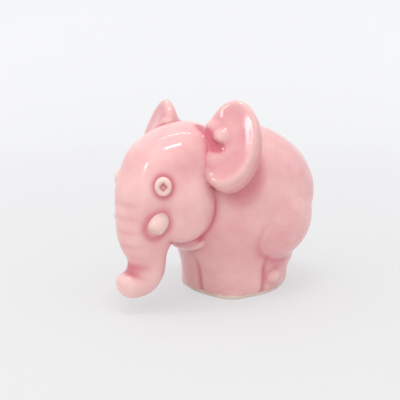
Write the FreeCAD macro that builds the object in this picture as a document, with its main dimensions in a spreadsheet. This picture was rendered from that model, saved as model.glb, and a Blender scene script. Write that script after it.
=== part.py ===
"""Glazed ceramic elephant figurine, made of the castings that a potter lutes together.

The elephant faces -Y, its own left side is +X and the flat base stands on Z = 0.
Every clay form is a loft through soft rings, or an ellipsoid, sized by the cells of one sheet.
"""
import FreeCAD, Part
import math
import os
import Sketcher

os.makedirs("parts", exist_ok=True)
doc = FreeCAD.newDocument("elephant_figurine")
Vector = FreeCAD.Vector
Turn = FreeCAD.Rotation

# Driving sizes in millimetres.
SIZES = {
    "torso_height": 55.0,     # floor to the top of the back
    "torso_length": 53.5,     # chest to rump, at the belly
    "torso_width": 43.6,      # flank to flank, at the belly
    "base_length": 31.4,      # the four merged feet, fore and aft
    "base_width": 30.4,       # the same, across
    "haunch_length": 33.0,    # thigh bulge over the hind leg
    "haunch_height": 29.0,
    "haunch_width": 25.0,
    "foot_size": 12.4,        # round toe bump of each foot
    "cleft_width": 5.0,       # soft grooves that part the legs
    "cleft_depth": 1.1,
    "cleft_height": 24.0,
    "wall": 3.2,              # cast wall of torso and skull
    "base_wall": 3.0,         # clay floor of the torso
    "drain_radius": 3.5,      # hole that lets the slip out and the kiln steam off
    "vent_radius": 1.5,       # hole from the skull into the torso
    "slip_gap": 0.1,          # film of slip between luted pieces
    "overrun": 1.0,           # how far a cutting tool starts outside the clay
    "crown_height": 55.6,     # floor to the top of the skull
    "head_width": 27.6,
    "head_depth": 30.0,
    "trunk_reach": 45.6,      # middle of the base to the tip of the trunk
    "trunk_width": 12.0,      # trunk just above its curl
    "cheek_width": 17.0,
    "cheek_depth": 19.0,
    "cheek_height": 24.0,
    "lip_width": 18.0,
    "lip_depth": 15.0,
    "lip_height": 14.0,
    "mouth_width": 8.0,       # hollow between trunk and lower lip
    "mouth_depth": 5.0,
    "mouth_height": 4.0,
    "wrinkle_width": 1.4,     # press lines over the front of the trunk
    "wrinkle_depth": 0.25,
    "ear_height": 26.4,
    "ear_width": 17.2,
    "ear_thickness": 5.0,
    "ear_rim": 2.3,           # rolled edge left round the bowl of the ear
    "ear_bowl": 2.0,          # depth of that bowl
    "ear_knob": 4.2,          # round knob in the bowl, near the root
    "ear_fold_length": 8.6,   # raised fold under the knob
    "ear_fold_width": 3.2,
    "eye_height": 6.2,
    "eye_width": 5.4,
    "eye_bulge": 2.3,
    "pupil_height": 3.0,      # dimple in the eye bead
    "pupil_width": 2.4,
    "pupil_depth": 1.0,
    "tusk_length": 8.0,
    "tusk_root": 6.4,         # diameter where the tusk leaves the cheek
    "tusk_tip": 4.8,
    "tusk_edge": 0.9,         # rounding of the cut end
    "tail_width": 3.0,
    "tuft_width": 4.6,
}

sheet = doc.addObject("Spreadsheet::Sheet", "sizes")
for row, (alias, value) in enumerate(SIZES.items(), 1):
    sheet.set("A%d" % row, alias)
    sheet.set("B%d" % row, str(value))
    sheet.setAlias("B%d" % row, alias)
doc.recompute()


def size(alias):
    """The value in the cell of that name."""
    return float(sheet.get(alias))


# A closed cubic curve over eight even poles is a circle to 1 part in 500
# when the poles lie this much farther out than the curve.
POLE_COUNT = 8
POLE_SHARE = 3 / (2 + math.sqrt(0.5))


def plane(body, role):
    """One of the body's own origin planes or axes."""
    return [item for item in body.Origin.OriginFeatures if item.Role == role][0]


def add(body, kind, name):
    """A new feature at the tip of a body. Its faces stay as the boolean leaves them."""
    item = body.newObject(kind, name)
    item.Refine = False
    body.Tip = item
    return item


def attach(item, owner, role="XY_Plane"):
    """Puts a sketch or primitive on one of its body's origin planes."""
    item.AttachmentSupport = [(plane(owner, role), "")]
    item.MapMode = "FlatFace"
    return item


def seat(item, place, turn=None):
    """Sets where a sketch or primitive sits: three expressions and a turn."""
    item.AttachmentOffset = FreeCAD.Placement(Vector(), turn or Turn())
    for axis, text in zip("xyz", place):
        item.setExpression("AttachmentOffset.Base." + axis, text)


def ring(body, name, place, across, along, tilt=0, square=0):
    """A soft ring of half widths across and along, its corners let out by the share square.

    It is drawn as a unit ring, and the expressions of its constraints give it its real size.
    """
    sketch = attach(body.newObject("Sketcher::SketchObject", name), body)
    seat(sketch, place, Turn(Vector(1, 0, 0), -tilt))
    corners = []
    for number in range(POLE_COUNT):
        angle = 2 * math.pi * number / POLE_COUNT
        out = POLE_SHARE * (1 + square * (number % 2))
        corners.append(Vector(out * math.cos(angle), out * math.sin(angle)))
    curve = Part.BSplineCurve()
    curve.buildFromPolesMultsKnots(corners, [1] * (POLE_COUNT + 1), range(POLE_COUNT + 1), True, 3)
    sketch.addGeometry(curve, False)
    sketch.exposeInternalGeometry(0)
    for number, corner in enumerate(corners, 1):
        for kind, axis, share, half in (("DistanceX", -2, corner.x, across), ("DistanceY", -1, corner.y, along)):
            if abs(share) < 0.001:
                sketch.addConstraint(Sketcher.Constraint("PointOnObject", number, 3, axis))
                continue
            index = sketch.addConstraint(Sketcher.Constraint(kind, -1, 1, number, 3, share))
            sketch.setExpression("Constraints[%d]" % index, "(%s) * %.5f" % (half, share))
    return sketch


def pole(body, name, place):
    """A single point that closes a loft in a dome."""
    sketch = attach(body.newObject("Sketcher::SketchObject", name), body)
    seat(sketch, place)
    sketch.addGeometry(Part.Point(Vector()))
    sketch.addConstraint(Sketcher.Constraint("Coincident", 0, 1, -1, 1))
    return sketch


def loft(body, name, sections, cut=False):
    """A smooth skin through the sections, added to the body or cut from it."""
    doc.recompute()
    skin = add(body, "PartDesign::SubtractiveLoft" if cut else "PartDesign::AdditiveLoft", name)
    skin.Profile = sections[0]
    skin.Sections = [(section, [""]) for section in sections[1:]]
    return skin


def egg(body, name, place, widths, turn=None, cut=False):
    """An ellipsoid of the three full widths, added to the body or cut from it."""
    kind = "PartDesign::SubtractiveEllipsoid" if cut else "PartDesign::AdditiveEllipsoid"
    item = attach(add(body, kind, name), body)
    seat(item, place, turn)
    for radius, text in zip(("Radius2", "Radius3", "Radius1"), widths):
        item.setExpression(radius, "(%s) / 2" % text)
    item.Angle1 = -90
    item.Angle2 = 90
    item.Angle3 = 360
    return item


def mirror(body, name, features):
    """The same features again on the other side of the middle plane."""
    doc.recompute()
    item = add(body, "PartDesign::Mirrored", name)
    item.Originals = features
    item.MirrorPlane = (plane(body, "YZ_Plane"), [""])
    return item


def times(alias, share):
    """Expression: a share of one size."""
    return "sizes.%s * %g" % (alias, share)


# Leg rings from the floor up, in shares: height of torso_height, half width of base_width,
# half length of base_length, corner squareness. Their middle is the middle of the base.
LEG_SHARES = (
    (0.000, 0.480, 0.478, 0.10),
    (0.022, 0.500, 0.500, 0.10),
    (0.127, 0.522, 0.531, 0.08),
    (0.236, 0.550, 0.585, 0.06),
)
# Belly rings above them: height of torso_height, chest forward of the middle in shares of
# trunk_reach, half width of torso_width, half length of torso_length, corner squareness.
# The chest stays with the head, so a longer torso grows towards the rump.
BELLY_SHARES = (
    (0.400, 0.518, 0.461, 0.451, 0.06),
    (0.582, 0.553, 0.500, 0.500, 0.06),
    (0.745, 0.528, 0.461, 0.461, 0.06),
    (0.873, 0.430, 0.360, 0.357, 0.06),
    (0.956, 0.298, 0.232, 0.222, 0.04),
)
# The top of the back: its height, and how far it is behind the foremost ring's chest.
BACK_POLE_SHARES = (1.0, 0.426)
CHEST_SHARE = 0.553

# Skull rings from the crown down, in shares: height of crown_height, forward of trunk_reach,
# half width of head_width, half depth of head_depth.
CROWN_POLE_SHARES = (1.0, 0.450)
SKULL_SHARES = (
    (0.980, 0.460, 0.200, 0.185),
    (0.925, 0.497, 0.375, 0.365),
    (0.830, 0.553, 0.480, 0.488),
    (0.740, 0.590, 0.500, 0.508),
    (0.665, 0.632, 0.495, 0.495),
    (0.605, 0.665, 0.461, 0.464),
)
# Trunk rings, in shares: height, forward, half width and half depth of trunk_width, tilt in degrees.
TRUNK_SHARES = (
    (0.525, 0.712, 0.415, 0.500, 0),
    (0.445, 0.757, 0.585, 0.640, 0),
    (0.365, 0.789, 0.663, 0.700, 1),
    (0.300, 0.802, 0.575, 0.600, 3),
    (0.240, 0.806, 0.510, 0.540, 8),
    (0.185, 0.822, 0.475, 0.500, 24),
    (0.157, 0.858, 0.455, 0.460, 50),
    (0.151, 0.905, 0.430, 0.400, 72),
    (0.156, 0.950, 0.370, 0.330, 88),
    (0.160, 0.985, 0.230, 0.200, 90),
    (0.161, 1.000, 0.090, 0.080, 90),
)
# The first trunk rings also take these shares of head_width and head_depth, to meet the skull.
JOINING_SHARES = ((0.217, 0.200), (0.087, 0.080))
# The rings that carry a press line, as places in the list of all rings of the head.
WRINKLED_RINGS = (5, 6, 7, 8)
WRINKLE_SWEEP = 110
# How many rings the hollow of the skull follows, and how far it drops below them, in walls.
HOLLOW_RINGS = 8
HOLLOW_DROP_SHARE = 0.9
VENT_HEIGHT_SHARE = 0.74

# Middles of the other forms of the head, in shares: side of head_width, forward of trunk_reach,
# height of crown_height.
CHEEK_PLACE_SHARES = (0.275, 0.600, 0.580)
LIP_PLACE_SHARES = (0.0, 0.440, 0.383)
MOUTH_PLACE_SHARES = (0.0, 0.590, 0.375)
EYE_PLACE_SHARES = (0.394, 0.615, 0.690)
EYE_DEPTH_SHARE = 0.304   # and this much farther forward, of head_depth
TUSK_PLACE_SHARES = (0.305, 0.807, 0.510)
EAR_PLACE_SHARES = (0.636, 0.406, 0.894)
# Turns of the small pieces, in degrees: about Z, Y and X.
EYE_TURN = (-34, 0, 0)
EAR_TURN = (-60, -22, -4)
TUSK_TURN = (20, 0, 138)

# Knob and fold in the bowl of the ear: the size that each coordinate follows, and its share.
EAR_KNOB_SHARES = (("ear_thickness", 0.10), ("ear_width", -0.150), ("ear_height", 0.065))
EAR_FOLD_SHARES = (("ear_thickness", 0.00), ("ear_width", -0.080), ("ear_height", -0.090))
EAR_FOLD_TILT = 31

# Middle of the haunch, in shares: side of torso_width, behind the chest in torso_length, height of
# torso_height.
HAUNCH_PLACE_SHARES = (0.248, 0.565, 0.455)
# Middle of each toe bump: side of base_width, fore or aft of base_length, height of foot_size.
FOOT_PLACE_SHARES = (0.268, 0.268, 0.35)
# Clefts between the legs stand this far from the middle, in shares of the base's sizes.
CLEFT_PLACE_SHARE = 0.535

# Tail rings from the tuft up: height of torso_height, behind the chest in torso_length, the size
# and share of the half width, tilt in degrees.
TAIL_SHARES = (
    (0.365, 0.920, "tuft_width", 0.12, 24),
    (0.385, 0.929, "tuft_width", 0.36, 24),
    (0.430, 0.949, "tuft_width", 0.50, 20),
    (0.490, 0.979, "tail_width", 0.50, 10),
    (0.580, 0.998, "tail_width", 0.45, 0),
    (0.680, 0.978, "tail_width", 0.50, -16),
    (0.760, 0.935, "tail_width", 0.65, -28),
    (0.780, 0.920, "tail_width", 0.20, -28),
)


def body(name):
    """A new body under its own label."""
    item = doc.addObject("PartDesign::Body", name)
    item.Label = name
    return item


def behind(share, chest=CHEST_SHARE):
    """Expression: how far back of the base's middle a share of torso_length behind the chest is."""
    return "%s + %s" % (times("trunk_reach", -chest), times("torso_length", share))


def grown(text, extra):
    """Expression: a half width let out by extra, which is an expression too or empty."""
    return "%s + %s" % (text, extra) if extra else text


def torso_loft(owner, name, top="sizes.torso_height", extra="", floor="", cut=False):
    """The torso's skin up to the height top, each half width let out by extra.

    A hollow starts at the height floor, with the shape of the second ring.
    """
    rows = []
    for high, half_wide, half_long, square in LEG_SHARES:
        rows.append((high, "0", times("base_width", half_wide), times("base_length", half_long), square))
    for high, chest, half_wide, half_long, square in BELLY_SHARES:
        rows.append((high, behind(half_long, chest), times("torso_width", half_wide),
                     times("torso_length", half_long), square))
    if floor:
        rows = rows[1:]
    sections = []
    for number, (high, middle, wide, long, square) in enumerate(rows, 1):
        place = ("0", middle, floor if floor and number == 1 else "(%s) * %g" % (top, high))
        sections.append(ring(owner, "%s_ring_%d" % (name, number), place,
                             grown(wide, extra), grown(long, extra), square=square))
    high, back = BACK_POLE_SHARES
    sections.append(pole(owner, name + "_pole", ("0", behind(back), "(%s) * %g" % (top, high))))
    return loft(owner, name + "_skin", sections, cut)


def head_rows():
    """Every ring of the head: height, forward, half width, half depth as expressions, and tilt."""
    rows = []
    for high, forward, wide, deep in SKULL_SHARES:
        rows.append((high, forward, times("head_width", wide), times("head_depth", deep), 0))
    for number, (high, forward, wide, deep, tilt) in enumerate(TRUNK_SHARES):
        wide, deep = times("trunk_width", wide), times("trunk_width", deep)
        if number < len(JOINING_SHARES):
            wide += " + " + times("head_width", JOINING_SHARES[number][0])
            deep += " + " + times("head_depth", JOINING_SHARES[number][1])
        rows.append((high, forward, wide, deep, tilt))
    return rows


def head_place(high, forward, side="0"):
    """Expressions for a place on the head."""
    return (side, times("trunk_reach", -forward), times("crown_height", high))


def torso_place(side, back, high):
    """Expressions for a place in the torso."""
    return (times("torso_width", side), behind(back), times("torso_height", high))


def place_body(item, shares, turns, depth_share=0):
    """Stands a small body on the head: side, forward and height shares, and turns in degrees.

    The depth share moves it forward by that much of head_depth too.
    """
    side, forward, high = shares
    item.Placement = FreeCAD.Placement(Vector(), Turn(*turns))
    place = list(head_place(high, forward, times("head_width", side)))
    if depth_share:
        place[1] += " + " + times("head_depth", -depth_share)
    for axis, text in zip("xyz", place):
        item.setExpression("Placement.Base." + axis, text)


def head_form(name, extra=""):
    """The outer form of the head: skull, trunk, cheeks and lower lip, let out by extra."""
    owner = body(name)
    sections = []
    for number, (high, forward, wide, deep, tilt) in enumerate(reversed(head_rows()), 1):
        sections.append(ring(owner, "%s_ring_%d" % (name, number), head_place(high, forward),
                             grown(wide, extra), grown(deep, extra), tilt))
    high, forward = CROWN_POLE_SHARES
    place = head_place(high, forward)
    sections.append(pole(owner, name + "_crown", (place[0], place[1], grown(place[2], extra))))
    loft(owner, name + "_skin", sections)
    side, forward, high = CHEEK_PLACE_SHARES
    widths = [grown(times("cheek_" + way, 1), extra and extra + " * 2") for way in ("width", "depth", "height")]
    cheek = egg(owner, name + "_cheek", head_place(high, forward, times("head_width", side)), widths)
    mirror(owner, name + "_cheeks", [cheek])
    side, forward, high = LIP_PLACE_SHARES
    widths = [grown(times("lip_" + way, 1), extra and extra + " * 2") for way in ("depth", "width", "height")]
    egg(owner, name + "_lip", head_place(high, forward), widths, Turn(Vector(0, 0, 1), 90))
    return owner


def finish(name, kind, **links):
    """A boolean or mirror of whole bodies, under the sub-part's own name."""
    item = doc.addObject(kind, name)
    item.Label = name
    for key, value in links.items():
        setattr(item, key, value)
    return item


def head_hollow(owner, name):
    """The cast hollow of the skull, which tapers off in the upper trunk."""
    sections = []
    for number, (high, forward, wide, deep, tilt) in enumerate(reversed(head_rows()[1:HOLLOW_RINGS]), 1):
        place = head_place(high, forward)
        place = (place[0], place[1], "%s - sizes.wall * %g" % (place[2], HOLLOW_DROP_SHARE * high))
        sections.append(ring(owner, "%s_ring_%d" % (name, number), place,
                             wide + " - sizes.wall", deep + " - sizes.wall", tilt))
    high, forward = CROWN_POLE_SHARES
    place = head_place(high, forward)
    sections.append(pole(owner, name + "_pole", (place[0], place[1], place[2] + " - sizes.wall")))
    return loft(owner, name + "_skin", sections, cut=True)


def press_line(owner, number):
    """A shallow groove round the front of the trunk, on the ring of that number.

    Its sweep is rounder than the trunk, so it comes out of the clay at both sides.
    """
    high, forward, wide, deep, tilt = head_rows()[number]
    groove = attach(add(owner, "PartDesign::SubtractiveTorus", "press_line_%d" % number), owner)
    middle = "%s - (%s) + (%s) + sizes.wrinkle_width / 2 - sizes.wrinkle_depth"
    seat(groove, ("0", middle % (times("trunk_reach", -forward), deep, wide), times("crown_height", high)),
         Turn(Vector(0, 0, 1), -90 - WRINKLE_SWEEP / 2))
    groove.setExpression("Radius1", wide + " + sizes.wrinkle_width / 2 - sizes.wrinkle_depth")
    groove.setExpression("Radius2", "sizes.wrinkle_width / 2")
    groove.Angle3 = WRINKLE_SWEEP
    return groove


# The head, as a cutting form and then as the casting itself.
head_room = head_form("head_room", "sizes.slip_gap")
torso_room = body("torso_room")
torso_loft(torso_room, "torso_room", "sizes.torso_height + sizes.slip_gap", "sizes.slip_gap")

head = head_form("head")
side, forward, high = MOUTH_PLACE_SHARES
egg(head, "mouth", head_place(high, forward), ["sizes.mouth_" + way for way in ("depth", "width", "height")],
    Turn(Vector(0, 0, 1), 90), cut=True)
for number in WRINKLED_RINGS:
    press_line(head, number)
head_hollow(head, "skull_hollow")
vent = attach(add(head, "PartDesign::SubtractiveCylinder", "vent"), head)
seat(vent, head_place(VENT_HEIGHT_SHARE, CROWN_POLE_SHARES[1]), Turn(Vector(1, 0, 0), -90))
vent.setExpression("Radius", "sizes.vent_radius")
vent.setExpression("Height", "sizes.head_depth")

# The torso: skin, haunches, toe bumps, flat ground base, clefts between the legs, hollow and drain.
torso_casting = body("torso_casting")
torso_loft(torso_casting, "torso")
haunch = egg(torso_casting, "haunch", torso_place(*HAUNCH_PLACE_SHARES),
             ["sizes.haunch_" + way for way in ("width", "length", "height")])
feet = []
for number, end in enumerate((-1, 1), 1):
    place = (times("base_width", FOOT_PLACE_SHARES[0]), times("base_length", FOOT_PLACE_SHARES[1] * end),
             times("foot_size", FOOT_PLACE_SHARES[2]))
    feet.append(egg(torso_casting, "foot_%d" % number, place, ["sizes.foot_size"] * 3))
mirror(torso_casting, "other_side", [haunch] + feet)
under = attach(torso_casting.newObject("Sketcher::SketchObject", "under_base"), torso_casting)
under.addGeometry(Part.Circle(Vector(), Vector(0, 0, 1), size("torso_length")), False)
under.addConstraint(Sketcher.Constraint("Coincident", 0, 3, -1, 1))
under.addConstraint(Sketcher.Constraint("Radius", 0, size("torso_length")))
under.setExpression("Constraints[1]", "sizes.torso_length")
ground = add(torso_casting, "PartDesign::Pocket", "ground_flat")
ground.Profile = under
ground.setExpression("Length", "sizes.foot_size")
for name, place in (("front", ("0", times("base_length", -CLEFT_PLACE_SHARE))),
                    ("rear", ("0", times("base_length", CLEFT_PLACE_SHARE))),
                    ("side", (times("base_width", CLEFT_PLACE_SHARE), "0"))):
    widths = ["sizes.cleft_width", "sizes.cleft_depth * 2", "sizes.cleft_height"]
    if name == "side":
        widths = [widths[1], widths[0], widths[2]]
    cleft = egg(torso_casting, name + "_cleft", place + ("0",), widths, cut=True)
mirror(torso_casting, "other_cleft", [cleft])
torso_loft(torso_casting, "hollow", "sizes.torso_height - sizes.wall", "-sizes.wall", "sizes.base_wall", cut=True)
drain = attach(add(torso_casting, "PartDesign::SubtractiveCylinder", "drain"), torso_casting)
seat(drain, ("0", "0", "-sizes.overrun"))
drain.setExpression("Radius", "sizes.drain_radius")
drain.setExpression("Height", "sizes.base_wall + sizes.overrun * 2")
torso = finish("torso", "Part::Cut", Base=torso_casting, Tool=head_room)

# The left ear, in its own frame: X out of its face, Y to its free edge, Z to its top.
ear_form = body("ear_form")
egg(ear_form, "ear_dish", ("0", "0", "0"), ["sizes.ear_thickness", "sizes.ear_width", "sizes.ear_height"])
egg(ear_form, "ear_bowl", ("sizes.ear_thickness / 2", "0", "0"),
    ["sizes.ear_bowl * 2", "sizes.ear_width - sizes.ear_rim * 2", "sizes.ear_height - sizes.ear_rim * 2"],
    cut=True)
egg(ear_form, "ear_knob", [times(alias, share) for alias, share in EAR_KNOB_SHARES], ["sizes.ear_knob"] * 3)
egg(ear_form, "ear_fold", [times(alias, share) for alias, share in EAR_FOLD_SHARES],
    ["sizes.ear_knob", "sizes.ear_fold_length", "sizes.ear_fold_width"], Turn(Vector(1, 0, 0), EAR_FOLD_TILT))
place_body(ear_form, EAR_PLACE_SHARES, EAR_TURN)
skins = finish("skins", "Part::MultiFuse", Shapes=[head_room, torso_room])
ear_left = finish("ear_left", "Part::Cut", Base=ear_form, Tool=skins)

# The left eye bead, X out of its face.
eye_form = body("eye_form")
egg(eye_form, "eye_bead", ("0", "0", "0"), ["sizes.eye_bulge", "sizes.eye_width", "sizes.eye_height"])
egg(eye_form, "eye_pupil", ("sizes.eye_bulge / 2", "0", "0"),
    ["sizes.pupil_depth * 2", "sizes.pupil_width", "sizes.pupil_height"], cut=True)
place_body(eye_form, EYE_PLACE_SHARES, EYE_TURN, EYE_DEPTH_SHARE)
eye_left = finish("eye_left", "Part::Cut", Base=eye_form, Tool=head_room)

# The left tusk, Z along it to the cut end.
tusk_form = body("tusk_form")
stub = attach(add(tusk_form, "PartDesign::AdditiveCone", "tusk_stub"), tusk_form)
seat(stub, ("0", "0", "-sizes.tusk_length / 2"))
stub.setExpression("Radius1", "sizes.tusk_root / 2")
stub.setExpression("Radius2", "sizes.tusk_tip / 2")
stub.setExpression("Height", "sizes.tusk_length")
doc.recompute()
ends = [number for number, edge in enumerate(stub.Shape.Edges, 1)
        if edge.Closed and abs(edge.CenterOfMass.z - size("tusk_length") / 2) < size("tusk_edge")]
rounding = add(tusk_form, "PartDesign::Fillet", "tusk_rounding")
rounding.Base = (stub, ["Edge%d" % number for number in ends])
rounding.setExpression("Radius", "sizes.tusk_edge")
place_body(tusk_form, TUSK_PLACE_SHARES, TUSK_TURN)
tusk_left = finish("tusk_left", "Part::Cut", Base=tusk_form, Tool=head_room)

# The tail, pressed down the middle of the rump, with its tuft at the lower end.
tail_form = body("tail_form")
sections = []
for number, (high, back, alias, half, tilt) in enumerate(TAIL_SHARES, 1):
    place = ("0", behind(back), times("torso_height", high))
    sections.append(ring(tail_form, "tail_ring_%d" % number, place, times(alias, half), times(alias, half), tilt))
loft(tail_form, "tail_skin", sections)
tail = finish("tail", "Part::Cut", Base=tail_form, Tool=torso_room)

# The right-hand pieces.
pairs = {}
for source in (ear_left, eye_left, tusk_left):
    name = source.Label.replace("left", "right")
    pairs[name] = finish(name, "Part::Mirroring", Source=source, Base=Vector(), Normal=Vector(1, 0, 0))

doc.recompute()
for item in doc.Objects:
    if "Invalid" in item.State or "Error" in item.State:
        raise RuntimeError("%s failed: %s" % (item.Name, item.getStatusString()))
for item in [head, torso, ear_left, eye_left, tusk_left, tail] + list(pairs.values()):
    shape = item.Shape
    if shape.isNull() or not shape.isValid() or len(shape.Solids) != 1 or shape.Volume <= 0:
        raise RuntimeError("%s is not one sound solid" % item.Label)
    shape.exportStep("parts/%s.step" % item.Label)
    print("%-12s %8.1f mm3" % (item.Label, shape.Volume))
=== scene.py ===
"""Looks of the glazed elephant figurine: one skin of pink glaze over the luted castings.

The clay forms are grids of points worked out in millimetres. They are merged into one skin, the
glaze is let run into the creases, and the skin is parted again along the seams of the castings.
"""
import bpy
import numpy as np
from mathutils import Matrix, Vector
from mathutils.bvhtree import BVHTree


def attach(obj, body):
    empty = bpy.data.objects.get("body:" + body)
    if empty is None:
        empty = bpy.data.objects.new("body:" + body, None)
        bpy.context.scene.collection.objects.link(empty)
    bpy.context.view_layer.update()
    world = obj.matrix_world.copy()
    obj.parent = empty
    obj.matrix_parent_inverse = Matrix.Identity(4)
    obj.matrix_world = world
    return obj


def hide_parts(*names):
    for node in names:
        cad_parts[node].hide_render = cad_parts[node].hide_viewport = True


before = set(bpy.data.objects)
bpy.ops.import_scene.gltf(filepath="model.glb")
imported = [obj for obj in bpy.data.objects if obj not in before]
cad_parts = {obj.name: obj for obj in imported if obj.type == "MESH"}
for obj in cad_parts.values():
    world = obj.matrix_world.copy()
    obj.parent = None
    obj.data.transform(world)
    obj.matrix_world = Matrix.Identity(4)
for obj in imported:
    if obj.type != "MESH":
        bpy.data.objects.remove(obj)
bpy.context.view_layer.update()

MM = 0.001

# Sizes in millimetres, as the solids have them.
TORSO_HEIGHT, TORSO_LENGTH, TORSO_WIDTH = 55.0, 53.5, 43.6
BASE_LENGTH, BASE_WIDTH = 31.4, 30.4
CROWN_HEIGHT, HEAD_WIDTH, HEAD_DEPTH = 55.6, 27.6, 30.0
TRUNK_REACH, TRUNK_WIDTH = 45.6, 12.0
EAR_WIDTH, EAR_HEIGHT = 17.2, 26.4
DRAIN_RADIUS = 3.5
CHEST = 0.553 * TRUNK_REACH     # how far the chest stands in front of the foot's middle
WITHERS = 0.426                 # the highest point's place behind the chest, a share of the length
SKIN_GRAIN = 0.4                # spacing of the merged skin's points
FIRST_COAT, LATER_COAT = 70, 40     # rounds in which the glaze runs

# The rings hold shares of the sizes above.
# Leg rings: height, half width, half length, corner squareness.
LEG_RINGS = ((0.000, 0.480, 0.478, 0.10), (0.022, 0.500, 0.500, 0.10),
             (0.127, 0.522, 0.535, 0.10), (0.236, 0.550, 0.592, 0.09))
# Belly rings: height, the chest's place, half width, half length, corner squareness.
BELLY_RINGS = ((0.400, 0.518, 0.461, 0.451, 0.08), (0.582, 0.553, 0.500, 0.500, 0.06),
               (0.745, 0.528, 0.461, 0.461, 0.06), (0.873, 0.430, 0.360, 0.357, 0.06),
               (0.956, 0.298, 0.232, 0.222, 0.04))
CROWN_FORWARD = 0.450           # the crown's place, a share of the trunk's reach
# Skull rings: height, forward, half width, half depth.
SKULL_RINGS = ((0.980, 0.460, 0.200, 0.185), (0.925, 0.497, 0.375, 0.365), (0.830, 0.553, 0.480, 0.488),
               (0.740, 0.590, 0.500, 0.508), (0.665, 0.632, 0.495, 0.495))
# Trunk rings: height, forward, half width, half depth, tilt in degrees.
TRUNK_RINGS = ((0.605, 0.665, 1.060, 1.160, 0), (0.525, 0.712, 0.915, 1.000, 0),
               (0.445, 0.757, 0.785, 0.840, 0), (0.365, 0.786, 0.650, 0.680, 1),
               (0.300, 0.789, 0.530, 0.540, 3), (0.240, 0.776, 0.470, 0.465, 6),
               (0.185, 0.805, 0.460, 0.470, 24), (0.155, 0.850, 0.440, 0.430, 50),
               (0.145, 0.903, 0.420, 0.360, 72), (0.148, 0.950, 0.370, 0.310, 88),
               (0.160, 0.985, 0.230, 0.200, 90), (0.161, 1.000, 0.090, 0.080, 90))
# Tail rings: height, behind the chest, half width in millimetres, tilt in degrees.
TAIL_RINGS = ((0.365, 0.920, 0.55, 24), (0.385, 0.929, 1.66, 24), (0.430, 0.949, 2.30, 20),
              (0.490, 0.979, 1.50, 10), (0.580, 0.998, 1.35, 0), (0.680, 0.978, 1.50, -16),
              (0.760, 0.935, 1.95, -28), (0.780, 0.920, 0.60, -28))

# Turns about Z, Y and X in degrees.
EAR_TURN = (-60, -22, -4)
EYE_TURN = (-34, 0, 0)
TUSK_TURN = (20, 0, 138)

# Profiles, from the middle of the face to the middle of the back: share of the radius, height.
EAR_PROFILE = ((0, 0.75), (0.30, 0.70), (0.55, 0.62), (0.72, 0.80), (0.83, 1.35), (0.90, 1.50), (0.97, 1.05),
               (1.0, 0.1), (1.0, -1.4), (0.97, -2.8), (0.85, -3.9), (0.55, -4.5), (0.3, -4.7), (0, -4.8))
EAR_SINK = 2.2                  # how far the dish sinks on the side where it is luted on
EAR_LEAN = (0, 0.34, -0.44)     # how far the wall leans for each millimetre behind the rim
EYE_PROFILE = ((0, 0.10), (0.18, 0.12), (0.33, 0.35), (0.45, 0.85), (0.62, 1.22), (0.80, 1.05), (0.94, 0.45),
               (1.0, -0.2), (0.92, -0.9), (0.5, -1.1), (0, -1.15))
EYE_HALF_WIDTH, EYE_HALF_HEIGHT = 2.45, 2.8
# Tusk rings: height along the tusk, radius.
TUSK_RINGS = ((-4.0, 2.2), (-2.6, 3.2), (-0.5, 3.15), (1.6, 2.8), (3.1, 2.42), (3.75, 2.0), (3.97, 1.4),
              (4.0, 0.4))

# Rounded forms laid over the lofts: middle, widths, and for some a turn.
TORSO_EGGS = (((10.8, 4.5, 25.0), (25.2, 33.6, 30.6)),              # haunch
              ((9.2, 8.8, 13.0), (12.6, 17.0, 17.0)),               # lower thigh
              ((12.9, 2.4, 5.9), (9.2, 8.4, 6.6)),                  # toe
              ((8.15, 8.42, 4.34), (12.4, 12.4, 12.4)),             # hind foot
              ((7.4, -7.8, 2.0), (13.6, 13.4, 12.0)))               # fore foot
JAW_WIDTHS = (18.4, 15, 13.6)
CHEEK_WIDTHS = (17, 19, 24)
TRUNK_TIP = ((0, -40.8, 8.7), (9.6, 9.2, 7.6))
EAR_FAIRING = ((11.9, -13.6, 49.2), (8.0, 11.4, 12.2))              # clay behind the ear's root
# The same in the ear's own frame, which has X out of the ear's face and Z up.
EAR_PAD = ((-2.4, -1.4, -3.0), (6.6, 11.5, 20.0))                   # clay between the dish and the head
EAR_FOLDS = (((0.4, -2.4, 1.6), (3.8, 5.4, 5.4), (0, 0, 0)),        # knob
             ((-1.0, -5.2, 4.8), (4.0, 6.4, 5.0), (0, 0, 0)),       # fold above it
             ((-0.8, -2.8, -4.8), (4.6, 8.6, 5.0), (0, 0, 20)),     # lobe
             ((-0.7, 0.3, -2.9), (4.2, 9.4, 4.4), (0, 0, 44)))      # fold down to the lobe
EAR_RECESS, RECESS_RADIUS = (1.2, -3.6, -1.4), 1.7                  # the hole below the knob
# The right ear was pressed on a little further forward than the left one.
FAR_ROOT, FAR_TURN, FAR_SCALE = np.array([-11.5, -18.0, 46.0]), (10, 0, 0), (0.99, 1, 0.97)

LIP_MIDDLE, LIP_HALF_WIDTH, LIP_DROP, LIP_RADIUS = (0, -22.0, 22.4), 9.6, 6.4, 0.6
LIP_SWING = np.linspace(-1.3, 1.3, 17)
PRESS_LINES = (32.6, 28.5, 24.4, 20.2)                              # heights on the trunk
# Middle and widths of the painted shade under the jaw and behind the ear.
UNDER_JAW = ((0, -23.0, 20.5), (15, 11, 5))
BEHIND_EAR, BEHIND_EAR_WIDTHS = (1.0, 4.0, -3.0), (15, 15, 25)      # from the ear's middle
# Where the left ear is luted to the head, from above downwards.
LUTED = np.array([(6.4, -20.0, 53.8), (10.5, -20.6, 52.6), (13.9, -21.4, 50.6), (14.6, -21.6, 48.6),
                  (16.4, -21.0, 48.8)])


# ---------------------------------------------------------------- shapes

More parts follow.
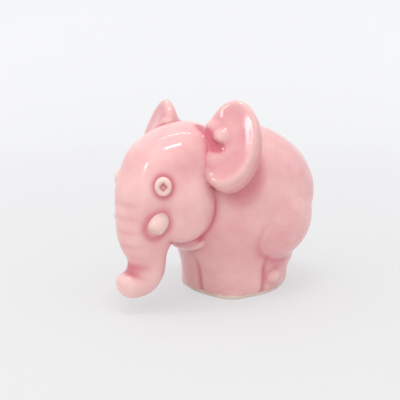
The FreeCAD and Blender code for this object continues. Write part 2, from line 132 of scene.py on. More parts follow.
def smooth_through(knots, values, at):
    """The natural cubic spline through the values at the knots, read off at the places at."""
    knots, values, at = (np.asarray(item, float) for item in (knots, values, at))
    gap = np.diff(knots)
    count = len(knots)
    rule = np.eye(count)
    right = np.zeros_like(values)
    inner = np.arange(1, count - 1)
    rule[inner, inner - 1] = gap[:-1]
    rule[inner, inner] = 2 * (gap[:-1] + gap[1:])
    rule[inner, inner + 1] = gap[1:]
    slope = np.diff(values, axis=0) / gap[:, None]
    right[1:-1] = 6 * np.diff(slope, axis=0)
    bend = np.linalg.solve(rule, right)
    cell = np.clip(np.searchsorted(knots, at, side="right") - 1, 0, count - 2)
    a = ((knots[cell + 1] - at) / gap[cell])[:, None]
    b = 1 - a
    h = (gap[cell] ** 2)[:, None] / 6
    curve = ((a ** 3 - a) * bend[cell] + (b ** 3 - b) * bend[cell + 1]) * h
    return a * values[cell] + b * values[cell + 1] + curve


def soft_ring(count, square=0.0):
    """A closed even cubic curve over eight poles on the unit ring, every other one let out by square."""
    number = np.arange(8)
    out = 3 / (2 + np.sqrt(0.5)) * (1 + square * (number % 2))
    poles = np.stack([out * np.cos(number * np.pi / 4), out * np.sin(number * np.pi / 4)], -1)
    u = np.arange(count) * 8 / count
    cell = np.floor(u).astype(int)
    f = (u - cell)[:, None]
    weights = ((1 - f) ** 3, 3 * f ** 3 - 6 * f ** 2 + 4, -3 * f ** 3 + 3 * f ** 2 + 3 * f + 1, f ** 3)
    return sum(weight / 6 * poles[(cell + shift - 1) % 8] for shift, weight in enumerate(weights))


def ring_loft(stations, rows=150, columns=120):
    """Rings of half widths a and b carried along a path, between the stations on a cubic spline.

    A station is (x, y, z, a, b, tilt, square). A ring's point is
    middle + a * ring_x * X + b * ring_y * (cos tilt * Y + sin tilt * Z).
    """
    stations = np.array(stations, float)
    steps = np.linalg.norm(np.diff(stations[:, 1:4], axis=0), axis=1) + 0.3 * np.abs(np.diff(stations[:, 4]))
    knots = np.concatenate([[0], np.cumsum(steps)])
    at = np.linspace(0, knots[-1], rows)
    x, y, z, a, b, tilt, square = smooth_through(knots, stations, at).T
    a, b = np.maximum(a, 0.01), np.maximum(b, 0.01)
    plain, squared = soft_ring(columns), soft_ring(columns, 0.1)
    ring = plain[None] + (squared - plain)[None] * (square[:, None, None] * 10)
    lean = np.radians(tilt)[:, None]
    long = b[:, None] * ring[..., 1]
    return np.stack([x[:, None] + a[:, None] * ring[..., 0], y[:, None] + long * np.cos(lean),
                     z[:, None] + long * np.sin(lean)], -1)


def tube(path, radius, rows=80, columns=24):
    """A round bar along a path on a cubic spline: path + radius * (side * cos v + up * sin v).

    The radius falls to nothing at both ends as the root of 1 - s ** 6, with s running from -1 to 1.
    """
    knots = np.concatenate([[0], np.cumsum(np.linalg.norm(np.diff(path, axis=0), axis=1))])
    line = smooth_through(knots, path, np.linspace(0, knots[-1], rows))
    along = np.gradient(line, axis=0)
    along /= np.linalg.norm(along, axis=1, keepdims=True)
    side = np.cross(along, (0, 1, 0.001))
    side /= np.linalg.norm(side, axis=1, keepdims=True)
    up = np.cross(side, along)
    v = np.linspace(0, 2 * np.pi, columns, endpoint=False)[None, :, None]
    here = np.sqrt(1.02 - np.linspace(-1, 1, rows) ** 6)[:, None, None] * radius
    return line[:, None] + here * (side[:, None] * np.cos(v) + up[:, None] * np.sin(v))


def turned(points, turn):
    """The points turned about X, then Y, then Z; turn gives the degrees in the order Z, Y, X."""
    about_z, about_y, about_x = np.radians(turn)
    c, s = np.cos(about_x), np.sin(about_x)
    points = points @ np.array([[1, 0, 0], [0, c, -s], [0, s, c]]).T
    c, s = np.cos(about_y), np.sin(about_y)
    points = points @ np.array([[c, 0, s], [0, 1, 0], [-s, 0, c]]).T
    c, s = np.cos(about_z), np.sin(about_z)
    return points @ np.array([[c, -s, 0], [s, c, 0], [0, 0, 1]]).T


def unturned(points, turn):
    """The inverse of turned."""
    return points @ turned(np.eye(3), turn).T


def egg(middle, widths, turn=(0, 0, 0), rows=60, columns=80):
    """An ellipsoid: middle + half widths * (sin u cos v, sin u sin v, cos u)."""
    u = np.linspace(0, np.pi, rows)[:, None]
    v = np.linspace(0, 2 * np.pi, columns, endpoint=False)[None]
    points = np.stack([np.sin(u) * np.cos(v), np.sin(u) * np.sin(v), np.cos(u) + 0 * v], -1)
    return turned(points * np.array(widths) / 2, turn) + np.array(middle)


def profile_round_oval(profile, half_across, half_up, rows=90, columns=120, diamond=0.0):
    """A profile of (share of the radius, height) carried round an oval; X is the height.

    The oval's point is (height, half_across * share * cos v, half_up * share * sin v). With a diamond
    the inner part, by 1 - share, turns to the curve |cos v| ** p, |sin v| ** p, which has four corners.
    """
    profile = np.array(profile, float)
    knots = np.concatenate([[0], np.cumsum(np.linalg.norm(np.diff(profile * (half_up, 1), axis=0), axis=1))])
    line = smooth_through(knots, profile, np.linspace(0, knots[-1], rows))
    share, height = np.maximum(line[:, :1], 0.001), line[:, 1:]
    v = np.linspace(0, 2 * np.pi, columns, endpoint=False)[None]
    power = 1 + diamond * np.clip(1.6 - 2 * share, 0, 1)
    across = np.sign(np.cos(v)) * np.abs(np.cos(v)) ** power
    up = np.sign(np.sin(v)) * np.abs(np.sin(v)) ** power
    return np.stack([height + 0 * v, half_across * share * across, half_up * share * up], -1)


def mirrored(grid):
    """The grid on the other side of the middle plane, its rings run backwards to keep it right side out."""
    return (grid * (-1, 1, 1))[:, ::-1]


# ---------------------------------------------------------------- meshes

def grid_faces(rows, columns):
    """The four-sided faces of a grid whose columns close on themselves."""
    row, column = np.meshgrid(np.arange(rows - 1), np.arange(columns), indexing="ij")
    after = (column + 1) % columns
    return np.stack([row * columns + column, row * columns + after,
                     (row + 1) * columns + after, (row + 1) * columns + column], -1).reshape(-1, 4)


def closed_faces(grid):
    """The faces of a grid of rings, right side out: the four-sided ones, and a cap for each end ring."""
    rows, columns = grid.shape[:2]
    quads = grid_faces(rows, columns)
    corners = grid.reshape(-1, 3)[quads]
    volume = np.einsum("ij,ij->i", corners[:, 0], np.cross(corners[:, 1], corners[:, 2])).sum()
    volume += np.einsum("ij,ij->i", corners[:, 0], np.cross(corners[:, 2], corners[:, 3])).sum()
    ring = np.arange(columns)
    caps = np.stack([ring[::-1], ring + (rows - 1) * columns])
    return (quads, caps) if volume >= 0 else (quads[:, ::-1], caps[:, ::-1])


def grid_mesh(name, grids):
    """One mesh of closed grids, which may overlap."""
    faces, start = [], 0
    for grid in grids:
        quads, caps = closed_faces(grid)
        faces += (quads + start).tolist() + (caps + start).tolist()
        start += grid.shape[0] * grid.shape[1]
    mesh = bpy.data.meshes.new(name)
    mesh.from_pydata(np.concatenate([grid.reshape(-1, 3) for grid in grids]).tolist(), [], faces)
    return mesh


def shown(name, mesh):
    """An object of the mesh, in the scene."""
    piece = bpy.data.objects.new(name, mesh)
    bpy.context.scene.collection.objects.link(piece)
    return piece


def painted(mesh, label, values):
    """Gives every point of the mesh a value, under a label that the finishes read."""
    layer = mesh.attributes.new(label, "FLOAT", "POINT")
    layer.data.foreach_set("value", values.astype(np.float32))


def baked(piece):
    """The piece's mesh with its modifiers worked in; the piece itself is removed."""
    graph = bpy.context.evaluated_depsgraph_get()
    mesh = bpy.data.meshes.new_from_object(piece.evaluated_get(graph))
    removed(piece)
    return mesh


def removed(piece):
    """Takes a helper object and its mesh out of the file."""
    mesh = piece.data
    bpy.data.objects.remove(piece)
    bpy.data.meshes.remove(mesh)


def places(mesh):
    """The mesh's points as an array."""
    points = np.empty(len(mesh.vertices) * 3)
    mesh.vertices.foreach_get("co", points)
    return points.reshape(-1, 3)


def triangles(mesh):
    """The mesh's faces as an array of triangles."""
    mesh.calc_loop_triangles()
    corners = np.empty(len(mesh.loop_triangles) * 3, int)
    mesh.loop_triangles.foreach_get("vertices", corners)
    return corners.reshape(-1, 3)


def outward(points, faces):
    """Each point's normal: the area-weighted mean of its faces' normals."""
    corners = points[faces]
    face_normals = np.cross(corners[:, 1] - corners[:, 0], corners[:, 2] - corners[:, 0])
    total = np.stack([np.bincount(faces.ravel(), np.repeat(face_normals[:, axis], 3), len(points))
                      for axis in range(3)], -1)
    return total / (np.linalg.norm(total, axis=1, keepdims=True) + 1e-12)


class Net:
    """Which points of a skin are neighbours, so that a value can be averaged over them."""

    def __init__(self, mesh):
        pairs = np.empty(len(mesh.edges) * 2, int)
        mesh.edges.foreach_get("vertices", pairs)
        pairs = pairs.reshape(-1, 2)
        self.near, self.far = np.concatenate([pairs, pairs[:, ::-1]]).T
        self.count = len(mesh.vertices)
        self.valence = np.bincount(self.near, minlength=self.count).astype(float)

    def mean(self, value):
        """The mean of the value over each point's neighbours."""
        if value.ndim == 1:
            return np.bincount(self.near, value[self.far], self.count) / self.valence
        return np.stack([self.mean(value[:, axis]) for axis in range(value.shape[1])], -1)

    def spread(self, value, times):
        """The value averaged over the neighbours again and again."""
        for _ in range(times):
            value = 0.5 * value + 0.5 * self.mean(value)
        return value


# ---------------------------------------------------------------- the clay forms

def torso_stations():
    """The torso's rings, from the foot up to the withers."""
    stations = [(0, 0, TORSO_HEIGHT * high, BASE_WIDTH * wide, BASE_LENGTH * long, 0, square)
                for high, wide, long, square in LEG_RINGS]
    stations += [(0, TORSO_LENGTH * long - TRUNK_REACH * chest, TORSO_HEIGHT * high, TORSO_WIDTH * wide,
                  TORSO_LENGTH * long, 0, square) for high, chest, wide, long, square in BELLY_RINGS]
    return stations + [(0, TORSO_LENGTH * WITHERS - CHEST, TORSO_HEIGHT, 0, 0, 0, 0.04)]


def head_place(side, forward, high):
    """A place on the head, from shares of its width, the trunk's reach and the crown's height."""
    return np.array([HEAD_WIDTH * side, -TRUNK_REACH * forward, CROWN_HEIGHT * high])


def head_stations():
    """The rings of skull and trunk, from the crown to the tip."""
    stations = [(*head_place(0, CROWN_FORWARD, 1.0), 0, 0, 0, 0)]
    stations += [(*head_place(0, forward, high), HEAD_WIDTH * wide, HEAD_DEPTH * deep, 0, 0)
                 for high, forward, wide, deep in SKULL_RINGS]
    stations += [(*head_place(0, forward, high), TRUNK_WIDTH * wide, TRUNK_WIDTH * deep, -tilt, 0)
                 for high, forward, wide, deep, tilt in TRUNK_RINGS]
    return stations


EAR_MIDDLE = head_place(0.636, 0.406, 0.894)
EYE_MIDDLE = head_place(0.394, 0.815, 0.690)
TUSK_MIDDLE = head_place(0.305, 0.807, 0.510)
CHEEK_MIDDLE = head_place(0.275, 0.600, 0.580)
JAW_MIDDLE = head_place(0, 0.440, 0.400)
# The lower lip: a line that swings across the jaw, hangs down in the middle and runs back at its ends.
LIP = np.stack([LIP_HALF_WIDTH * np.sin(LIP_SWING), 1.2 * LIP_SWING ** 2, -LIP_DROP * np.cos(LIP_SWING)], -1)
LIP += LIP_MIDDLE


def ear_dish():
    """The ear in its own frame: a low rolled rim round a shallow bowl, X out of its face.

    Towards the head the dish sinks by EAR_SINK * (share of the half width) ** 2. Its wall leans
    outwards and down by EAR_LEAN for each millimetre behind the rim, as far as 4 mm.
    """
    dish = profile_round_oval(EAR_PROFILE, EAR_WIDTH / 2, EAR_HEIGHT / 2)
    sunk = EAR_SINK * np.clip(-2 * dish[..., 1] / EAR_WIDTH, 0, 1) ** 2
    behind = np.clip(-dish[..., :1], 0, 4)
    dish = dish + behind * EAR_LEAN
    dish[..., 0] -= sunk
    return dish


def placed_ear(grid):
    """A grid of the ear's own frame, stood on the head's left side."""
    return turned(grid, EAR_TURN) + EAR_MIDDLE


def far_ear(grid):
    """A grid of the left ear, on the right side and turned a little about its root."""
    return turned(mirrored(grid) - FAR_ROOT, FAR_TURN) * FAR_SCALE + FAR_ROOT


ear_forms = [placed_ear(ear_dish()), placed_ear(egg(*EAR_PAD)), egg(*EAR_FAIRING)]
ear_forms += [placed_ear(egg(*fold)) for fold in EAR_FOLDS]
torso_forms = [ring_loft(torso_stations())]
for side in (1, -1):
    torso_forms += [egg(np.array(middle) * (side, 1, 1), widths) for middle, widths in TORSO_EGGS]
head_forms = [ring_loft(head_stations(), 220), egg(JAW_MIDDLE, JAW_WIDTHS), egg(*TRUNK_TIP),
              tube(LIP, LIP_RADIUS)]
head_forms += [egg(CHEEK_MIDDLE * (side, 1, 1), CHEEK_WIDTHS) for side in (1, -1)]
tail_forms = [ring_loft([(0, TORSO_LENGTH * back - CHEST, TORSO_HEIGHT * high, half, half, -tilt, 0)
                         for high, back, half, tilt in TAIL_RINGS], 80, 48)]
castings = (("torso", torso_forms), ("head", head_forms), ("ear_left", ear_forms),
            ("ear_right", [far_ear(grid) for grid in ear_forms]), ("tail", tail_forms))
TORSO, EAR_LEFT, EAR_RIGHT, TAIL = 0, 2, 3, 4       # their places in the list above


# ---------------------------------------------------------------- one skin

def merged_skin():
    """All forms as one closed mesh, with the drain cut out of the foot."""
    piece = shown("skin", grid_mesh("skin", [grid for _, grids in castings for grid in grids]))
    merge = piece.modifiers.new("merge", "REMESH")
    merge.mode, merge.voxel_size, merge.use_smooth_shade = "VOXEL", SKIN_GRAIN, True
    bar = ring_loft([(0, 0, high, DRAIN_RADIUS, DRAIN_RADIUS, 0, 0) for high in (-4, 0, 5, 12)], 40, 48)
    drain = shown("drain", grid_mesh("drain", [bar]))
    bore = piece.modifiers.new("bore", "BOOLEAN")
    bore.operation, bore.solver, bore.object = "DIFFERENCE", "MANIFOLD", drain
    mesh = baked(piece)
    removed(drain)
    return mesh


def nearest_casting():
    """The number of the nearest casting for every point of the skin."""
    marks = np.zeros(len(points), int)
    nearest = np.full(len(points), np.inf)
    for number, (name, grids) in enumerate(castings):
        form = grid_mesh(name, grids)
        tree = BVHTree.FromPolygons(places(form).tolist(), [tuple(face.vertices) for face in form.polygons])
        reach = np.array([tree.find_nearest(point)[3] for point in points.tolist()])
        closer = reach < nearest
        marks[closer], nearest[closer] = number, reach[closer]
        bpy.data.meshes.remove(form)
    return marks


skin = merged_skin()
points, faces = places(skin), triangles(skin)
net = Net(skin)
points[:, 2] = np.maximum(points[:, 2], 0)
marks = nearest_casting()


# ---------------------------------------------------------------- glaze, and painted shade

def between(values, low, high):
    """Where the values lie between two limits."""
    return (values > low) & (values < high)


def bump(distance, width):
    """A soft hump: exp(-(distance / width) ** 2)."""
    return np.exp(-(distance / width) ** 2)


def fade(values, start, length):
    """0 below the start, rising evenly to 1 over the length; a negative length makes it fall instead."""
    return np.clip((values - start) / length, 0, 1)


def carved(points, normals, middle, radius):
    """Points inside a ball pushed back along their normals until they leave it.

    The way out is the larger root t of |p - t n - middle| = radius.
    """
    start = points - middle
    b = (start * normals).sum(1)
    c = (start ** 2).sum(1) - radius ** 2
    root = b + np.sqrt(np.maximum(b * b - c, 0))
    return points - normals * np.where(c < 0, root, 0)[:, None]


def run_together(points, rounds):
    """Lets the glaze run: points move out along their normals towards the mean of their neighbours.

    Only hollows fill, by nine tenths of the step each round. The sum of the steps is returned too.
    """
    pool_and_shade = np.zeros(len(points))
    for number in range(rounds):
        if number % 6 == 0:
            normals = outward(points, faces)
        step = 0.9 * np.maximum(((net.mean(points) - points) * normals).sum(1), 0)
        points = points + normals * step[:, None]
        pool_and_shade += step
    return points, pool_and_shade


def eased(points, rounds):
    """Plain smoothing: each point goes halfway to the mean of its neighbours, then nine tenths back out."""
    for _ in range(rounds):
        points = points + 0.5 * (net.mean(points) - points)
        points = points - 0.45 * (net.mean(points) - points)
    return points


def near_rod(start, end, radius):
    """How far each point is outside a rod with round ends."""
    along = end - start
    share = np.clip(((points - start) @ along) / (along @ along), 0, 1)
    return np.linalg.norm(points - start - share[:, None] * along, axis=1) - radius


def near_oval(middle, widths):
    """How far each point is outside an ellipsoid, near enough: (|q| - 1) times its mean half width."""
    half = np.array(widths) / 2
    return (np.linalg.norm((points - middle) / half, axis=1) - 1) * half.mean()


# The merged skin's steps are eased and the ears' recesses opened, then a first coat fills the creases.
points = eased(points, 6)
normals = outward(points, faces)
for side in (1, -1):
    recess = placed_ear(np.array([EAR_RECESS]))[0] * (side, 1, 1)
    points = carved(points, normals, recess, RECESS_RADIUS)
points, pool_and_shade = run_together(points, FIRST_COAT)

# Further coats soften the cheeks in full, the haunches and heels by 0.7, and the ear bowls by half.
x, y, z = points.T
bowl = net.spread(np.isin(marks, (EAR_LEFT, EAR_RIGHT)).astype(float), 4)
cheek_front = between(y, -40, -25) & between(z, 22, 47)
haunch_top = (y > -14) & between(z, 25, 46) & (np.abs(x) > 8)
heel = (y > 8.5) & between(z, 3, 13)
soft = np.maximum(net.spread(np.maximum(cheek_front, 0.7 * (haunch_top | heel)), 30), 0.5 * bowl)
for _ in range(8):
    run, more = run_together(points, LATER_COAT)
    points = points + (run - points) * soft[:, None]
    pool_and_shade = pool_and_shade * (1 - 0.3 * soft) + more * bowl * 0.06
points = eased(points, 10)
normals = outward(points, faces)

# Press lines 0.15 mm deep over the front of the trunk.
x, y, z = points.T
furrow = np.zeros(len(points))
front = fade(-normals[:, 1], 0.2, 0.4) * fade(np.abs(x), 7.0, -3) * (y < -34)
for height in PRESS_LINES:
    furrow += 0.15 * bump(z - height, 0.8) * front
# Clefts 0.55 mm deep between the legs: front and back, and on both sides. The front one is off the middle.
legs = fade(z, 15, -6) * (z > 0.4) * (y > -25)
for facing, across in ((normals[:, 1], x - 2.7 * (y < 0)), (normals[:, 0], y + 2.0)):
    furrow += 0.55 * bump(across, 0.9) * legs * (np.abs(facing) > 0.5)
# The crease of the trunk's curl lies on a plane that rises towards the front at 30 degrees.
tip_crease = (y + 42.0) * 0.5 + (z - 12.2) * 0.87
furrow += 0.25 * bump(tip_crease, 0.9) * fade(y, -38.5, -3) * (z < 17)
furrow = net.spread(furrow, 2)
points = points - normals * furrow[:, None]
points[:, 2] = np.maximum(points[:, 2], 0)
pool_and_shade = pool_and_shade * 1.25 + 0.9 * furrow + 0.35 * bump(tip_crease, 1.5) * fade(y, -40, -2.5) * (z < 15)
normals = outward(points, faces)

# How proud each point stands of its surroundings: the glaze runs thin there.
proud = net.spread(((points - net.spread(points, 40)) * normals).sum(1), 6)

# Painted shade darkens the hollow under the jaw, where trunk and cheeks shade it; the glaze runs off the
# lip, which stays pale.
pool_and_shade = pool_and_shade + 0.30 * fade(near_oval(*UNDER_JAW), 3, -3)
lip = np.min([near_rod(start, end, LIP_RADIUS) for start, end in zip(LIP[:-1], LIP[1:])], axis=0)
pool_and_shade = pool_and_shade * (1 - 0.9 * bump(np.maximum(lip, 0), 0.5))
proud = proud + 0.45 * bump(np.maximum(lip, 0), 0.45)

# Painted shadow darkens the torso behind and below each ear, and painted shade the ear's wall, which faces
# down; each ear is also deepened by 0.1 all over.
behind_ear = EAR_MIDDLE + BEHIND_EAR
near_ears = np.min([near_oval(behind_ear * (side, 1, 1), BEHIND_EAR_WIDTHS) for side in (1, -1)], axis=0)
pool_and_shade = pool_and_shade + 0.42 * fade(near_ears, 3.6, -3.6) * (marks == TORSO)
for number, side in ((EAR_LEFT, 1), (EAR_RIGHT, -1)):
    before_rim, _, up_ear = unturned(points * (side, 1, 1) - EAR_MIDDLE, EAR_TURN).T
    wall = fade(before_rim, -0.6, -2.0) * fade(up_ear, 4, -6) * fade(before_rim, -6.5, 3)
    pool_and_shade = pool_and_shade + (marks == number) * (0.6 * wall + 0.1)

# It runs down the join of head and ear, fills the recess below the knob, and stands in a collar round
# each eye and tusk.
for side in (1, -1):
    joint = LUTED * (side, 1, 1)
    for start, end in zip(joint[:-1], joint[1:]):
        pool_and_shade = np.maximum(pool_and_shade, 0.75 * bump(np.maximum(near_rod(start, end, 0.7), 0), 1.3))
for side in (1, -1):
    local = unturned(points * (side, 1, 1) - EYE_MIDDLE, EYE_TURN)
    radius = np.sqrt((local[:, 1] / EYE_HALF_WIDTH) ** 2 + (local[:, 2] / EYE_HALF_HEIGHT) ** 2)
    away = np.where(np.abs(local[:, 0]) < 5, (radius - 1) * 2.6, 9)
    pool_and_shade = pool_and_shade + 0.6 * bump(away, 1.1)
    ends = (turned(np.array([(0, 0, -3.0), (0, 0, 3.2)]), TUSK_TURN) + TUSK_MIDDLE) * (side, 1, 1)
    pool_and_shade = pool_and_shade + 0.5 * bump(near_rod(ends[0], ends[1], 3.0), 1.3)


# ---------------------------------------------------------------- parting the skin

def majority(marks, rounds):
    """Each point takes the mark that most of its neighbours have."""
    for _ in range(rounds):
        votes = np.stack([net.spread((marks == number).astype(float), 4) for number in range(len(castings))])
        marks = votes.argmax(0)
    return marks


marks = majority(marks, 3)
face_marks = np.sort(marks[faces], 1)[:, 1]
# A point inside the clay for each seam, from which the cut is closed.
NECK, RUMP = np.array([0, -14.0, 33.0]), np.array([0, 23.5, 31.0])
EAR_ROOT = placed_ear(np.array([[-2.6, -4.2, -3.0]]))[0]
seam_middles = {"torso": NECK, "head": NECK, "ear_left": EAR_ROOT, "ear_right": EAR_ROOT * (-1, 1, 1),
                "tail": RUMP}


def casting_piece(number, name):
    """One casting's share of the skin, closed by a cone of faces from each seam to a point inside."""
    own = faces[face_marks == number]
    edges = np.concatenate([own[:, (0, 1)], own[:, (1, 2)], own[:, (2, 0)]])
    keys = edges[:, 0] * len(points) + edges[:, 1]
    back = edges[:, 1] * len(points) + edges[:, 0]
    rim = edges[~np.isin(keys, back)]
    used = np.unique(own)
    index = np.full(len(points), -1)
    index[used] = np.arange(len(used))
    cones = [(seam_middles[name], rim)]
    if number == TORSO:
        start = points[rim[:, 0]]
        at_tail = (marks[rim] == TAIL).any(1) | ((np.abs(start[:, 0]) < 6) & (start[:, 1] > 12))
        cones = [(RUMP, rim[at_tail]), (NECK, rim[~at_tail])]
    closing = [index[own]]
    for tip, (_, part) in enumerate(cones, len(used)):
        closing.append(np.stack([index[part[:, 1]], index[part[:, 0]], np.full(len(part), tip)], -1))
    tips = np.array([middle for middle, _ in cones])
    mesh = bpy.data.meshes.new(name)
    corners = np.concatenate([points[used], tips]) * MM
    mesh.from_pydata(corners.tolist(), [], np.concatenate(closing).tolist())
    for label, value in (("pool_and_shade", pool_and_shade), ("proud", proud)):
        painted(mesh, label, np.concatenate([value[used], np.zeros(len(tips))]))
    mesh.shade_smooth()
    inside = np.tile((0, 0, -1.0), (len(tips), 1))
    mesh.normals_split_custom_set_from_vertices(np.concatenate([normals[used], inside]).tolist())
    piece = shown(name + "_glazed", mesh)
    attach(piece, "root")
    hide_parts(name)
    return piece


glazed = [casting_piece(number, name) for number, (name, _) in enumerate(castings)]


# ---------------------------------------------------------------- beads: eyes and tusks

def bead(name, node, grid, blush):
    """A small closed piece of its own that stands for one node; blush is the pink on each ring."""
    mesh = grid_mesh(name, [grid * MM])
    mesh.shade_smooth()
    painted(mesh, "pool_and_shade", np.repeat(blush, grid.shape[1]))
    piece = shown(name, mesh)
    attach(piece, "root")
    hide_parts(node)
    return piece


eye = profile_round_oval(EYE_PROFILE, EYE_HALF_WIDTH, EYE_HALF_HEIGHT, diamond=0.8)
eye = turned(eye, EYE_TURN) + EYE_MIDDLE
ring = np.linspace(0, 1, len(eye))
eye_blush = bump(ring, 0.20) + 0.8 * fade(ring, 0.60, 0.12)         # in the dimple and round the foot
tusk = ring_loft([(0, 0, high, radius, radius, 0, 0) for high, radius in TUSK_RINGS], 70, 64)
tusk = turned(tusk, TUSK_TURN) + TUSK_MIDDLE
tusk_blush = 0.12 + 0.45 * fade(np.linspace(0, 1, len(tusk)), 0.45, -0.2)       # towards the root
beads = [bead("eye_left_bead", "eye_left", eye, eye_blush),
         bead("eye_right_bead", "eye_right", mirrored(eye), eye_blush),
         bead("tusk_left_stub", "tusk_left", tusk, tusk_blush),
         bead("tusk_right_stub", "tusk_right", mirrored(tusk), tusk_blush)]


# ---------------------------------------------------------------- finishes

def linear(hex_colour):
    """The linear colour of an sRGB hex value."""
    value = np.array([int(hex_colour[at:at + 2], 16) for at in (1, 3, 5)]) / 255
    value = np.where(value <= 0.04045, value / 12.92, ((value + 0.055) / 1.055) ** 2.4)
    return (*value.tolist(), 1.0)


def node(tree, kind, settings=None, **links):
    """Adds a node, gives it its settings, and links its named or numbered inputs."""
    item = tree.nodes.new(kind)
    for key, value in (settings or {}).items():
        if isinstance(key, str) and hasattr(item, key):
            setattr(item, key, value)
        else:
            item.inputs[key].default_value = value
    for key, source in links.items():
        at = int(key[1:]) if key[0] == "_" and key[1:].isdigit() else key.replace("_", " ")
        tree.links.new(item.inputs[at], source)
    return item


def mix(tree, share, first, second):
    """The first colour turning to the second by the share; a colour is a socket or an sRGB hex value."""
    item = node(tree, "ShaderNodeMix", {"data_type": "RGBA"}, _0=share)
    for socket, colour in ((6, first), (7, second)):
        if isinstance(colour, str):
            item.inputs[socket].default_value = linear(colour)
        else:
            tree.links.new(item.inputs[socket], colour)
    return item.outputs[2]


def noise(tree, place, size, detail, roughness=0.5):
    """Soft clouds of about a size in millimetres: the scale is how many of them fit into one metre."""
    settings = {"Scale": 1 / (size * MM), "Detail": detail, "Roughness": roughness}
    return node(tree, "ShaderNodeTexNoise", settings, Vector=place).outputs["Fac"]


def mapped(tree, value, low, high, to_low=0.0, to_high=1.0):
    """The value's range from low to high carried over to another range, and held at its ends."""
    settings = {"From Min": low, "From Max": high, "To Min": to_low, "To Max": to_high}
    return node(tree, "ShaderNodeMapRange", settings, Value=value).outputs[0]


def worked(tree, operation, first, second):
    """One sum of two sockets."""
    return node(tree, "ShaderNodeMath", {"operation": operation}, _0=first, _1=second).outputs[0]


def material(name):
    """A new material and its empty node tree."""
    item = bpy.data.materials.new(name)
    item.use_nodes = True
    item.node_tree.nodes.clear()
    return item, item.node_tree


def dressed(pieces, finish):
    """Gives every piece the finish."""
    for piece in pieces:
        piece.data.materials.clear()
        piece.data.materials.append(finish)


def glossy_pink():
    """Pink glaze on slip-cast earthenware, dipped and fired.

    Roughness 0.11 and an index of 1.5 give the eye the sharp small highlights of wet-looking glass.
    The glaze is milky in soft clouds, deep rose where it pools in creases and, as painted shade, under the
    jaw, behind the ears and on the ears' walls; pale where it runs thin over an edge, and it stops short of
    the foot, where the bare clay is matt.
    """
    finish, tree = material("pink_earthenware_glaze")
    place = node(tree, "ShaderNodeTexCoord").outputs["Object"]
    pool_and_shade_here = node(tree, "ShaderNodeAttribute", {"attribute_name": "pool_and_shade"}).outputs["Fac"]
    proud_here = node(tree, "ShaderNodeAttribute", {"attribute_name": "proud"}).outputs["Fac"]
    # Clouds 13 mm across, about a quarter of the torso's height, as thick and thin glaze dries.
    milky = mapped(tree, noise(tree, place, 40 / 3, 4.0, 0.6), 0.28, 0.70)
    colour = mix(tree, milky, "#E6A4A9", "#F2C4C2")
    # Deep rose where the glaze pools, and painted shade where the pool value carries it.
    colour = mix(tree, mapped(tree, pool_and_shade_here, 0.0, 0.68), colour, "#CE6878")
    colour = mix(tree, mapped(tree, proud_here, 0.05, 0.70), colour, "#F2D2CB")
    # The glaze ends 0.5 to 1.7 mm above the table, on a line that wanders every 4 mm.
    height = node(tree, "ShaderNodeSeparateXYZ", Vector=place).outputs["Z"]
    wander = noise(tree, place, 3.85, 2.0)
    line = {"operation": "MULTIPLY_ADD", 1: 3.0 * MM, 2: -0.4 * MM}
    edge = node(tree, "ShaderNodeMath", line, _0=wander).outputs[0]
    bare = mapped(tree, worked(tree, "SUBTRACT", height, edge), 0.3 * MM, -0.2 * MM)
    colour = mix(tree, bare, colour, "#F0E2D6")
    # A ripple 6 mm long breaks the highlights' edges a little, as glaze does over slip-cast clay.
    ripple = noise(tree, place, 6.25, 1.0)
    uneven = node(tree, "ShaderNodeBump", {"Strength": 0.12, "Distance": 0.4 * MM}, Height=ripple).outputs[0]
    shader = node(tree, "ShaderNodeBsdfPrincipled", {"IOR": 1.5}, Base_Color=colour, Normal=uneven,
                  Roughness=mapped(tree, bare, 0.0, 1.0, 0.11, 0.85))
    node(tree, "ShaderNodeOutputMaterial", Surface=shader.outputs[0])
    return finish


def glossy_white():
    """White slip under the clear glaze: creamy, as glossy as the pink, with pink bled in round its edge."""
    finish, tree = material("white_slip_glaze")
    place = node(tree, "ShaderNodeTexCoord").outputs["Object"]
    # Clouds 2.4 mm across, half an eye, where the slip lets the clay show.
    colour = mix(tree, noise(tree, place, 2.38, 2.0), "#F3DDD2", "#EFCBC4")
    bled = node(tree, "ShaderNodeAttribute", {"attribute_name": "pool_and_shade"}).outputs["Fac"]
    colour = mix(tree, bled, colour, "#D07482")
    shader = node(tree, "ShaderNodeBsdfPrincipled", {"Roughness": 0.12, "IOR": 1.5}, Base_Color=colour)
    node(tree, "ShaderNodeOutputMaterial", Surface=shader.outputs[0])
    return finish


def matt_paper():
    """Pale matt paper, which throws soft light back up at the glaze.

    Seen directly, mirrored or through glass it is a darker paper with a cool glow, painted light that grows
    with the distance from the figure, so that it fades to white behind and the shadow below stays soft and
    pale.
    """
    finish, tree = material("matt_paper")
    rays = node(tree, "ShaderNodeLightPath").outputs
    seen = worked(tree, "MAXIMUM", rays["Is Camera Ray"], rays["Is Glossy Ray"])
    seen = worked(tree, "MAXIMUM", seen, rays["Is Transmission Ray"])
    place = node(tree, "ShaderNodeTexCoord").outputs["Object"]
    away = node(tree, "ShaderNodeVectorMath", {"operation": "LENGTH"}, Vector=place).outputs["Value"]
    # Painted light: the glow stands in for lamp light on the paper and lightens the figure's shadow.
    painted_paper_light = worked(tree, "MULTIPLY", seen, mapped(tree, away, 0.04, 0.75, 0.54, 0.71))
    shader = node(tree, "ShaderNodeBsdfPrincipled", {"Roughness": 0.9, "Emission Color": linear("#F8FBFF")},
                  Base_Color=mix(tree, seen, "#E2E1E0", "#8E8C8B"), Emission_Strength=painted_paper_light)
    node(tree, "ShaderNodeOutputMaterial", Surface=shader.outputs[0])
    return finish


dressed(glazed, glossy_pink())
dressed(beads, glossy_white())


# ---------------------------------------------------------------- studio

SWEEP_FRONT, SWEEP_BACK, SWEEP_HALF_WIDTH, SWEEP_TOP = -9000, 500, 2400, 1400
SWEEP_BEND = 220                # radius of the quarter bend behind SWEEP_BACK
SWEEP_TURN = np.radians(40)     # the sweep's back, from the X axis


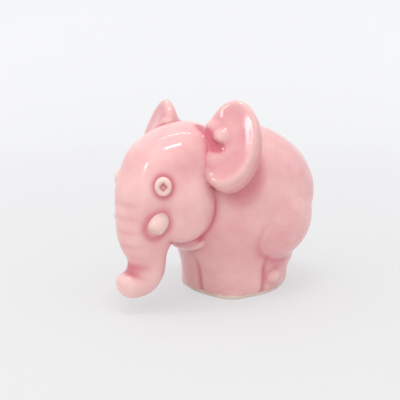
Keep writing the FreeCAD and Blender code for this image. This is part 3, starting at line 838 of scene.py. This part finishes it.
def sweep():
    """The pale paper sweep: floor, quarter bend and upright wall, as one profile pulled across.

    The bend's point is (back + r sin t, r - r cos t), with the radius r and t from 0 to a quarter turn.
    The paper lies 0.02 mm below the figure's foot.
    """
    floor = np.concatenate([[SWEEP_FRONT], np.linspace(-1800, SWEEP_BACK, 20)])
    bend = np.linspace(0, np.pi / 2, 24)
    depth = np.concatenate([floor, SWEEP_BACK + SWEEP_BEND * np.sin(bend), [SWEEP_BACK + SWEEP_BEND]])
    rise = np.concatenate([0 * floor, SWEEP_BEND - SWEEP_BEND * np.cos(bend), [SWEEP_TOP]])
    across, depth = np.meshgrid(np.linspace(-SWEEP_HALF_WIDTH, SWEEP_HALF_WIDTH, 15), depth, indexing="ij")
    c, s = np.cos(SWEEP_TURN), np.sin(SWEEP_TURN)
    grid = np.stack([across * s - depth * c, across * c + depth * s, rise - 0.02 + 0 * across], -1) * MM
    rows, columns = grid.shape[:2]
    row, column = np.meshgrid(np.arange(rows - 1), np.arange(columns - 1), indexing="ij")
    corner = row * columns + column
    quads = np.stack([corner, corner + columns, corner + columns + 1, corner + 1], -1)
    mesh = bpy.data.meshes.new("paper_sweep")
    mesh.from_pydata(grid.reshape(-1, 3).tolist(), [], quads.reshape(-1, 4).tolist())
    mesh.shade_smooth()
    return shown("paper_sweep", mesh)


def softbox(name, place, width, height, power, target=None, turn=0):
    """A rectangular soft light at a place in millimetres: facing the target, or straight down and turned."""
    light = bpy.data.lights.new(name, "AREA")
    light.shape = "RECTANGLE"
    light.size, light.size_y = width * MM, height * MM
    light.energy = power
    item = bpy.data.objects.new(name, light)
    bpy.context.scene.collection.objects.link(item)
    item.location = Vector(place) * MM
    item.rotation_euler = (0, 0, np.radians(turn))
    if target is not None:
        item.rotation_euler = (Vector(target) - Vector(place)).to_track_quat("-Z", "Y").to_euler()
    return item


paper = sweep()
dressed([paper], matt_paper())
# The wide box lights the figure from above without a mirror image of its own. The strip, the tube and
# the pane are the bright marks that the glaze mirrors on brow, back, rims and beads.
wide = softbox("overhead_softbox", (20, -110, 420), 600, 500, 0.38, target=(0, 0, 20))
wide.visible_glossy = False
softbox("overhead_strip", (46, -65, 480), 180, 46, 0.42, turn=55)
softbox("overhead_tube", (-180, 65, 480), 300, 9, 0.09, turn=38)
softbox("window_pane", (-14, -405, 275), 30, 84, 0.12, target=(20, -15, 54))
world = bpy.data.worlds.new("studio")
bpy.context.scene.world = world
world.use_nodes = True
backdrop = world.node_tree.nodes["Background"].inputs
backdrop["Color"].default_value = linear("#FFFDFC")
backdrop["Strength"].default_value = 0.91

# The camera of the photo: 50 degrees round from the front, 0.2 m away and a little above.
CAMERA_PLACE, CAMERA_TARGET = Vector((154.69, -144.44, 68.15)) * MM, Vector((-7.2, -8.6, 28.6)) * MM
camera_data = bpy.data.cameras.new("photo_camera")
camera_data.lens, camera_data.sensor_width = 58.44, 36.0
camera_data.clip_start = 0.01
camera = bpy.data.objects.new("photo_camera", camera_data)
bpy.context.scene.collection.objects.link(camera)
camera.location = CAMERA_PLACE
camera.rotation_euler = (CAMERA_TARGET - CAMERA_PLACE).to_track_quat("-Z", "Y").to_euler()
bpy.context.scene.camera = camera
bpy.context.scene.view_settings.view_transform = "Standard"
